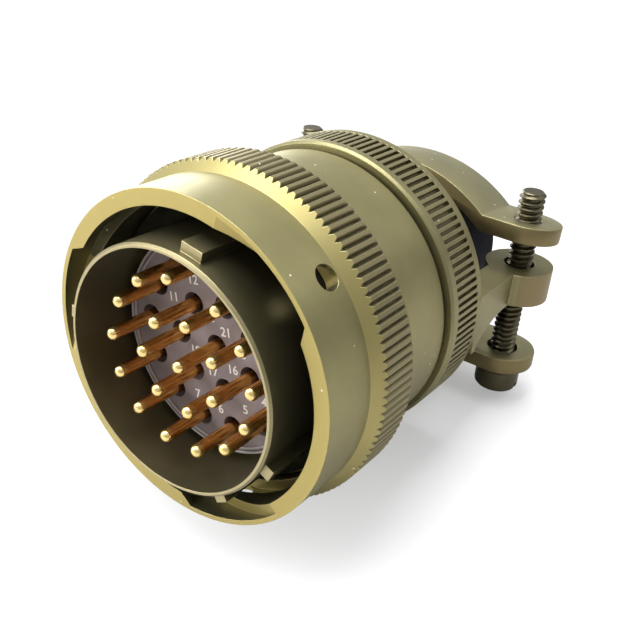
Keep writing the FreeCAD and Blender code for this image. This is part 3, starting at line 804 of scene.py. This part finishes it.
@dataclass
class InsertGroup:
    """The grey insert, its printed numerals, the contacts and the seals behind them.

    Args:
        letters: last letters of the contact nodes, outer circle first.
        well_radius: radius of the well round each pin.
        face_radius: radius of the face with its rims.
        seat_step: how far the insert's seat lies in front of the gasket's rear.
        ridge_width: width of each of the two raised rims round the face.
        ridge_gap: width of the groove between them.
        ridge_height: height of the rims.
        ridge_round: rounding of their edges.
        pale_height: height above the face from which the rims take the painted highlight.
        nose_round: rounding of each pin's nose.
        dull_depth: depth under the face from which the contacts take painted shade.
        numeral_height: height of the printed numerals.
        numeral_gap: distance from a contact's centre to its numeral's.
        numeral_tries: spots that are compared round a contact.
        print_weight: how much heavier than the font the print is.
        key_angle: angle of the master key in degrees, from the side towards the screws' top.
        seal_round: rounding of the seals' edges.
        places: the contacts' places, found from their nodes.
    """

    letters: str = "abcdefghjklmnprstuvwx"
    well_radius: float = 1.4
    face_radius: float = 13.5
    seat_step: float = 0.2
    ridge_width: float = 0.28
    ridge_gap: float = 0.26
    ridge_height: float = 0.35
    ridge_round: float = 0.07
    pale_height: float = 0.12
    nose_round: float = 0.66
    dull_depth: float = 0.3
    numeral_height: float = 1.6
    numeral_gap: float = 2.55
    numeral_tries: int = 36
    print_weight: float = 0.03
    key_angle: float = 79.5
    seal_round: float = 0.12
    places: list[Vector] = field(default_factory=list)

    def __post_init__(self) -> None:
        """Find the contacts' places."""
        for letter in self.letters:
            low, high = PLUG.extent(f"contact_{letter}")
            self.places.append(Vector(((low.x + high.x) / 2, 0.0, (low.z + high.z) / 2)))

    def build(self) -> None:
        """Build and dress the group."""
        self.build_insert()
        self.build_contacts()
        self.build_numerals()
        rubber = Moulded("seal_rubber", (0.02, 0.018, 0.011), (0.034, 0.03, 0.018),
                         roughness=0.85, gloss=0.1)
        for node, name in (("face_gasket", "barrel_gasket"), ("wire_grommet", "rear_grommet")):
            seal = rounded_copy(node, name, self.seal_round)
            enlist(seal, Body.SHELL, Slot.SEAL, rubber.material(), [node])
        follower = Moulded("follower_plastic", (0.20, 0.19, 0.17), (0.26, 0.25, 0.22))
        dress_node("grommet_follower", follower.material())

    def build_insert(self) -> None:
        """Turn the insert and bore a cavity through it for each contact."""
        low, high = PLUG.extent("contact_insert")
        shell_seat = PLUG.extent("face_gasket")[1].y - self.seat_step
        face = low.y + self.ridge_height
        outer = self.face_radius
        insert = lathe([
            (0.0, face), *self.ridge(outer - self.ridge_width - self.ridge_gap, face, low.y),
            *self.ridge(outer, face, low.y)[:-1], (outer, shell_seat), (high.x, shell_seat),
            (high.x, high.y), (0.0, high.y)], Facets.FACE)
        bpy.ops.mesh.primitive_cylinder_add(vertices=Facets.WELL, radius=self.well_radius,
                                            depth=3 * (high.y - low.y),
                                            rotation=(math.pi / 2, 0.0, 0.0))
        well = bpy.context.object
        bpy.ops.object.transform_apply(rotation=True)
        wells = [copied(well, place + Vector((0.0, face, 0.0))) for place in self.places]
        bpy.data.objects.remove(well)
        combine(insert, joined(wells), "DIFFERENCE")
        smooth(insert)
        settle(insert, "insert_face")
        # the insert's raised rims get a pale painted highlight
        grey = Moulded("insert_grey", (0.215, 0.185, 0.20), (0.27, 0.235, 0.25),
                       roughness=0.38, grain=0.25, raised=(0.40, 0.37, 0.38),
                       raised_depth=face - self.pale_height)
        enlist(insert, Body.SHELL, Slot.INSERT, grey.material(), ["contact_insert"])

    def ridge(self, outer: float, face: float, crest: float) -> list[Pair]:
        """Outline one raised rim.

        Args:
            outer: its outer radius.
            face: depth of the face that it stands on.
            crest: depth of its crest.

        Returns:
            Pairs of radius and depth, from the axis outwards.
        """
        soft = self.ridge_round
        inner = outer - self.ridge_width
        return [(inner, face), (inner, crest + soft), (inner + soft, crest),
                (outer - soft, crest), (outer, crest + soft), (outer, face)]

    def build_contacts(self) -> None:
        """Turn one round nosed contact with its shoulder, and copy it to every place."""
        low, high = PLUG.extent("contact_x")
        pin_radius, shoulder = PLUG.pin_size()
        body_radius = (high.x - low.x) / 2
        face = PLUG.extent("contact_insert")[0].y + self.ridge_height
        profile = [(0.0, low.y)]
        for step in range(Facets.NOSE + 1):
            turn = math.pi / 2 * step / Facets.NOSE
            profile.append((pin_radius - self.nose_round * (1.0 - math.sin(turn)),
                            low.y + self.nose_round * (1.0 - math.cos(turn))))
        profile += [(pin_radius, shoulder), (body_radius, shoulder), (body_radius, high.y),
                    (0.0, high.y)]
        pin = lathe(profile, Facets.PIN)
        smooth(pin)
        gold = ContactGold("contact_gold", nose_depth=low.y + pin_radius,
                           shadow_depth=face + self.dull_depth).material()
        for letter, place in zip(self.letters, self.places):
            contact = copied(pin, place)
            settle(contact, f"pin_{letter}")
            enlist(contact, Body.SHELL, Slot.CONTACT, gold, [f"contact_{letter}"])
        bpy.data.objects.remove(pin)

    def numeral_spot(self, place: Vector, taken: Sequence[Vector]) -> Vector:
        """Return the clearest spot round a contact for its numeral.

        Args:
            place: the contact's place.
            taken: spots of the numerals that are printed already.

        Returns:
            The spot, across the connector's axis.
        """
        rim = self.face_radius - 2 * self.ridge_width - self.ridge_gap
        spots = []
        for step in range(self.numeral_tries):
            turn = math.tau * step / self.numeral_tries
            spot = place + Vector((math.cos(turn), 0.0, math.sin(turn))) * self.numeral_gap
            clear = [(spot - other).length - self.well_radius for other in self.places]
            clear += [(spot - other).length - self.numeral_height for other in taken]
            clear.append(rim - spot.length - self.numeral_height / 2)
            spots.append((min(clear), step, spot))
        return max(spots)[2]

    def build_numerals(self) -> None:
        """Print a plain numeral beside each contact, upright to the master key."""
        face = PLUG.extent("contact_insert")[0].y + self.ridge_height
        key = math.radians(self.key_angle)
        marks = []
        taken: list[Vector] = []
        for number, place in enumerate(self.places, start=1):
            spot = self.numeral_spot(place, taken)
            taken.append(spot)
            deselect()
            bpy.ops.object.text_add(rotation=(math.pi / 2, key - math.pi / 2, 0.0))
            text = bpy.context.object
            text.data.body = str(number)
            text.data.size = self.numeral_height
            text.data.align_x = "CENTER"
            text.data.align_y = "CENTER"
            text.data.extrude = 0.01
            text.data.offset = self.print_weight
            bpy.ops.object.convert(target="MESH")
            mark = bpy.context.object
            mark.location = spot + Vector((0.0, face, 0.0))
            bpy.ops.object.transform_apply(location=True, rotation=True)
            marks.append(mark)
        print_ = joined(marks)
        settle(print_, "insert_numerals")
        white = Moulded("print_white", (0.93, 0.93, 0.91), (0.86, 0.86, 0.85), roughness=0.6,
                        grain=0.1)
        enlist(print_, Body.SHELL, Slot.INSERT, white.material())


@dataclass
class ShellGroup:
    """The barrel, the coupling ring and the rear pieces of the shell.

    Args:
        barrel: finish of the barrel, a darker copy of the plating as painted shade.
        ring: finish of the coupling ring.
        sleeve: finish of the rear sleeve.
        fluted: finish of the clamp body.
        float_travel: the ring's travel towards the mate; not used.
        spring_round: rounding of the wave washer's edges.
    """

    # the barrel's dark tone is painted shade, as it sits inside the coupling ring
    barrel: Plating = Plating(
        "barrel_plating", tone=(0.16, 0.145, 0.08), forward=(0.50, 0.43, 0.24),
        forward_share=0.9, roughness=0.40, wear=0.7, speck=0.02)
    # the ring's bore colour and its knurl floors are painted shade; its forward faces get a painted highlight
    ring: Plating = Plating(
        "ring_plating", forward_share=0.9, forward_except=(6.0, 9.4), wear=0.6, edge=0.1,
        grooves=Grooves(11.4, 17.1, 20.65, 21.05, (0.24, 0.21, 0.11), (0.07, 0.06, 0.03)),
        bore_tone=(0.20, 0.185, 0.105), bore_radius=19.3)
    # the sleeve's near-black bore colour is painted shade in the neck
    sleeve: Plating = Plating(
        "sleeve_plating", roughness=0.42, wear=0.6, bore_tone=(0.028, 0.023, 0.012),
        bore_radius=18.3)
    # the flute floors are painted shade
    fluted: Plating = Plating(
        "fluted_plating", tone=(0.27, 0.247, 0.125), wear=0.5, edge=0.18,
        cut_tone=(0.23, 0.175, 0.095), cut_depth=45.5,
        grooves=Grooves(30.0, 35.15, 18.85, 19.4, (0.245, 0.222, 0.115), (0.14, 0.125, 0.064)))
    float_travel: float = 0.5
    spring_round: float = 0.03

    def build(self) -> None:
        """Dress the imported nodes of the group."""
        dress_node("plug_shell", self.barrel.material())
        dress_node("coupling_ring", self.ring.material())
        dress_node("rear_sleeve", self.sleeve.material())
        dress_node("clamp_body", self.fluted.material())
        spring = DarkSteel("spring_steel", tone=(0.4, 0.39, 0.36), worn=(0.7, 0.69, 0.66))
        steel = spring.material()
        for node in ("thrust_washer", "retaining_ring"):
            dress_node(node, steel)
        self.build_wave_washer(steel)

    def build_wave_washer(self, steel: Material) -> None:
        """Round the wave washer.

        Args:
            steel: its material.
        """
        low, high = PLUG.extent("wave_washer")
        washer = rounded_copy("wave_washer", "waved_spring", self.spring_round)
        enlist(washer, Body.SHELL, Slot.SPRING, steel, ["wave_washer"])
        tuple(PLUG.rear)
        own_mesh(washer)


@dataclass
class ClampGroup:
    """The saddles, the threaded clamp screws and their lock washers.

    Args:
        pitch: advance of the screws' thread in one turn.
        crest: radius of the thread's crest.
        root: radius of the thread's root.
        flank: share of the pitch that each flank takes.
        head_height: height of the screws' heads.
        head_round: rounding of the heads' lower edge.
        head_arc: shares of that rounding, inwards and upwards, at its corners.
        head_chamfer: chamfer of the heads' upper edge.
        slot_width: width of the driver slot.
        slot_depth: depth of the driver slot.
        tip_chamfer: chamfer at the thread's end.
        tip_spare: distance by which the tool that cuts it clears the thread.
        saddle_round: rounding of the saddles' edges.
        washer_round: rounding of the lock washers' edges.
        bushing_bore: radius of the bushing's bore.
        bushing_body: radius of the bushing behind its collar.
        collar_length: length of the bushing's collar.
        bushing_round: rounding of the bushing's rear edge.
        bore_chamfer: chamfer at the rear end of its bore.
        bushing_kept: share of the bushing's height that the closed saddles leave; not used.
    """

    pitch: float = 0.8
    crest: float = 1.735
    root: float = 1.32
    flank: float = 0.36
    head_height: float = 3.2
    head_round: float = 0.7
    head_arc: tuple[Pair, ...] = ((1.0, 0.0), (0.4, 0.18), (0.12, 0.5), (0.0, 1.0))
    head_chamfer: float = 0.15
    slot_width: float = 0.9
    slot_depth: float = 1.2
    tip_chamfer: float = 0.4
    tip_spare: float = 0.5
    saddle_round: float = 0.3
    washer_round: float = 0.12
    bushing_bore: float = 8.6
    bushing_body: float = 10.7
    collar_length: float = 4.0
    bushing_round: float = 0.6
    bore_chamfer: float = 0.4
    bushing_kept: float = 0.66

    def build(self) -> None:
        """Build and dress the group."""
        self.build_bushing()
        plating = Plating("saddle_plating", tone=(0.30, 0.277, 0.148), worn=(0.40, 0.30, 0.13),
                          wear=0.7, turned=0.0, cut_tone=(0.20, 0.15, 0.065))
        olive = plating.material()
        for name, body in (("upper_saddle", Body.UPPER), ("lower_saddle", Body.LOWER)):
            strap = rounded_copy(name, f"{name}_strap", self.saddle_round)
            enlist(strap, body, Slot.PLATING, olive, [name])
        steel = DarkSteel("screw_steel").material()
        for side, body in (("near", Body.NEAR_SCREW), ("far", Body.FAR_SCREW)):
            self.build_screw(side, body, steel)
            node = f"lock_washer_{side}"
            washer = rounded_copy(node, f"split_washer_{side}", self.washer_round)
            enlist(washer, Body.LOWER, Slot.SCREW, steel, [node])

    def build_bushing(self) -> None:
        """Turn the rubber bushing."""
        low, high = PLUG.extent("cable_bushing")
        shoulder = low.y + self.collar_length
        soft = self.bushing_round
        bushing = lathe([
            (self.bushing_bore, low.y), (high.x, low.y), (high.x, shoulder),
            (self.bushing_body, shoulder), (self.bushing_body, high.y - soft),
            (self.bushing_body - 0.3 * soft, high.y - 0.3 * soft),
            (self.bushing_body - soft, high.y), (self.bushing_bore + self.bore_chamfer, high.y),
            (self.bushing_bore, high.y - self.bore_chamfer), (self.bushing_bore, low.y)],
            Facets.BUSHING)
        smooth(bushing)
        settle(bushing, "rubber_bushing")
        rubber = Moulded("bushing_rubber", (0.004, 0.004, 0.008), (0.008, 0.008, 0.013),
                         roughness=0.8, grain=0.2, gloss=0.06)
        enlist(bushing, Body.SHELL, Slot.SEAL, rubber.material(), ["cable_bushing"])
        tuple(PLUG.top)
        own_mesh(bushing)

    def build_screw(self, side: str, body: Body, steel: Material) -> None:
        """Model one slotted screw with its thread.

        Args:
            side: the screw's side, as in its node's name.
            body: the body it rides on.
            steel: its material.
        """
        node = f"clamp_screw_{side}"
        low, high = PLUG.extent(node)
        axis = Vector(((low.x + high.x) / 2, (low.y + high.y) / 2, 0.0))
        head_radius = (high.x - low.x) / 2
        head_top = low.z + self.head_height
        screw = self.thread(head_top - self.pitch, high.z)
        edge = [(head_radius - self.head_round * inwards, low.z + self.head_round * upwards)
                for inwards, upwards in self.head_arc]
        head = lathe([
            (0.0, low.z), *edge, (head_radius, head_top - self.head_chamfer),
            (head_radius - self.head_chamfer, head_top), (0.0, head_top)],
            Facets.HEAD, upright=True)
        deselect()
        bpy.ops.mesh.primitive_cube_add(size=1.0, location=(0.0, 0.0, low.z))
        slot = bpy.context.object
        slot.scale = (head_radius * 3, self.slot_width, self.slot_depth * 2)
        bpy.ops.object.transform_apply(scale=True, location=True)
        combine(head, slot, "DIFFERENCE")
        combine(screw, head, "UNION")
        smooth(screw, SHARP)
        placed = copied(screw, axis)
        bpy.data.objects.remove(screw)
        settle(placed, f"threaded_screw_{side}")
        enlist(placed, body, Slot.SCREW, steel, [node])

    def thread(self, start: float, end: float) -> Object:
        """Wind a thread between two heights and round off its end.

        Args:
            start: lower height.
            end: height of the tip.

        Returns:
            The threaded shank, upright about the origin.
        """
        turns = math.ceil((end - start) / self.pitch) + 2
        foot = start - self.pitch
        shares = ((self.root, 0.0), (self.crest, self.flank), (self.crest, 0.5),
                  (self.root, 0.5 + self.flank), (self.root, 1.0))
        shank = outline([(r, 0.0, foot + share * self.pitch) for r, share in shares])
        bpy.ops.object.mode_set(mode="OBJECT")
        modify(shank, "SCREW", axis="Z", angle=math.tau, screw_offset=self.pitch,
               iterations=turns, steps=Facets.THREAD, render_steps=Facets.THREAD,
               use_merge_vertices=True)
        bpy.ops.object.mode_set(mode="EDIT")
        close_up()
        for height, normal in ((start, -1.0), (end, 1.0)):
            bpy.ops.object.mode_set(mode="EDIT")
            bpy.ops.mesh.select_all(action="SELECT")
            bpy.ops.mesh.bisect(plane_co=(0.0, 0.0, height), plane_no=(0.0, 0.0, normal),
                                use_fill=True, clear_outer=True)
            close_up()
        over = self.crest + self.tip_spare
        below = start - 2 * self.tip_spare
        gauge = lathe([
            (0.0, below), (over, below), (over, end - self.tip_chamfer - self.tip_spare),
            (self.crest - self.tip_chamfer, end), (0.0, end)], Facets.TIP, upright=True)
        combine(shank, gauge, "INTERSECT")
        return shank


@dataclass
class Studio:
    """The floor, the lights and the camera.

    Args:
        focal_px: focal length in pixels of the frame.
        frame_px: side of the frame in pixels.
        sensor: width of the camera's sensor.
        camera_at: the camera's place in the frame.
        look_at: a point on the optical axis.
        floor_tone: colour of the floor as the object sees it.
        floor_seen: colour of the floor in the object's shadow, as the camera sees it.
        shadow_at: middle of the shadow in metres.
        shadow_span: distances from it between which the shadow fades.
        shadow_white: shares of white at those distances.
        room_top: direction in which the room is brightest.
        room_span: least and most likeness to it that change the brightness.
        room_levels: brightness at those two.
        lit: the point that the lamps face, in metres.
        lamps: name, place in metres, side in metres and power in watts of each square lamp.
    """

    focal_px: float = 882.7
    frame_px: float = 640.0
    sensor: float = 36.0
    camera_at: Place = (57.4, -50.0, 58.7)
    look_at: Place = (13.65, 9.61, 7.38)
    floor_tone: Tone = (0.48, 0.47, 0.46)
    floor_seen: Tone = (0.86, 0.86, 0.88)
    shadow_at: Place = (0.03, 0.045, 0.0)
    shadow_span: Pair = (0.02, 0.08)
    shadow_white: Pair = (0.3, 1.0)
    room_top: Place = (-0.4, 0.0, 0.92)
    room_span: Pair = (-0.2, 0.9)
    room_levels: Pair = (0.3, 0.95)
    lit: Place = (0.0, 0.02, 0.0)
    lamps: tuple[tuple[str, Place, float, float], ...] = (
        ("top_box", (-0.10, 0.02, 0.42), 0.35, 3.2),
        ("left_box", (-0.38, -0.30, 0.22), 0.30, 1.9),
        ("side_box", (-0.45, 0.32, 0.11), 0.26, 1.3),
        ("right_box", (0.34, 0.34, 0.40), 0.36, 0.5))

    def build(self) -> None:
        """Set the stage."""
        self.build_floor()
        self.build_world()
        self.build_lamps()
        self.build_camera()

    def build_floor(self) -> None:
        """Lay a floor that shows white to the camera, with the object's shadow."""
        deselect()
        bpy.ops.mesh.primitive_plane_add(size=3.0, location=(0.0, 0.0, CAD_BOX[0][2]))
        floor = bpy.context.object
        floor.name = "floor"
        graph = MaterialGraph("floor_white")
        camera = graph.add("LightPath").outputs["Is Camera Ray"]
        tone = graph.mix(camera, opaque(self.floor_tone), opaque(self.floor_seen))
        graph.put(Base_Color=tone, Roughness=0.7)
        place = graph.add("TexCoord").outputs["Object"]
        centred = graph.add("VectorMath", {0: place, 1: self.shadow_at},
                            operation="DISTANCE").outputs["Value"]
        share = graph.ramp(centred, *self.shadow_span, *self.shadow_white)
        share = graph.math("MULTIPLY", share, camera)
        glow = graph.add("Emission", {"Color": WHITE, "Strength": 1.06})
        blend = graph.add("MixShader", {0: share, 1: graph.shader.outputs[0],
                                        2: glow.outputs[0]})
        output = graph.tree.nodes["Material Output"]
        graph.tree.links.new(blend.outputs[0], output.inputs["Surface"])
        floor.data.materials.append(graph.material)

    def build_world(self) -> None:
        """Light the object from a pale room, dimmer at its right, that shows as white."""
        world = bpy.data.worlds.new("room")
        bpy.context.scene.world = world
        world.use_nodes = True
        graph = Graph(world.node_tree)
        graph.tree.nodes.clear()
        place = graph.add("TexCoord").outputs["Generated"]
        lean = graph.add("VectorMath", {0: place, 1: self.room_top}, operation="DOT_PRODUCT")
        level = graph.ramp(lean.outputs["Value"], *self.room_span, *self.room_levels)
        room = graph.add("Background", {"Color": WHITE, "Strength": level})
        white = graph.add("Background", {"Color": WHITE})
        camera = graph.add("LightPath").outputs["Is Camera Ray"]
        blend = graph.add("MixShader", {0: camera, 1: room.outputs[0], 2: white.outputs[0]})
        graph.add("OutputWorld", {"Surface": blend.outputs[0]})

    def build_lamps(self) -> None:
        """Hang soft boxes above the object, at its left and behind it on both sides."""
        for name, place, size, power in self.lamps:
            lamp = bpy.data.lights.new(name, "AREA")
            lamp.shape = "SQUARE"
            lamp.size = size
            lamp.energy = power
            self.put_up(lamp, Vector(place), Vector(self.lit) - Vector(place))

    @staticmethod
    def put_up(data: ID, place: Vector, aim: Vector) -> Object:
        """Put up a lamp or a camera.

        Args:
            data: the lamp or camera, whose name its object takes.
            place: its place in metres.
            aim: the direction in which it looks.

        Returns:
            Its object.
        """
        holder = bpy.data.objects.new(data.name, data)
        bpy.context.scene.collection.objects.link(holder)
        holder.location = place
        holder.rotation_euler = aim.to_track_quat("-Z", "Y").to_euler()
        return holder

    def build_camera(self) -> None:
        """Set the camera at the photograph's viewing angle."""
        camera = bpy.data.cameras.new("camera")
        camera.sensor_width = self.sensor
        camera.lens = self.sensor * self.focal_px / self.frame_px
        camera.clip_start = 0.005
        aim = Vector(self.look_at) - Vector(self.camera_at)
        bpy.context.scene.camera = self.put_up(camera, Vector(self.camera_at) * MM, aim)
        bpy.context.scene.view_settings.view_transform = "Standard"


def groups() -> Iterator[object]:
    """Yield the parts of the scene in the order in which they are built."""
    yield InsertGroup()
    yield ShellGroup()
    yield ClampGroup()
    yield Studio()


def main() -> None:
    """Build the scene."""
    logging.basicConfig(level=logging.INFO, format="%(message)s")
    for group in groups():
        group.build()


if __name__ == "__main__":
    main()
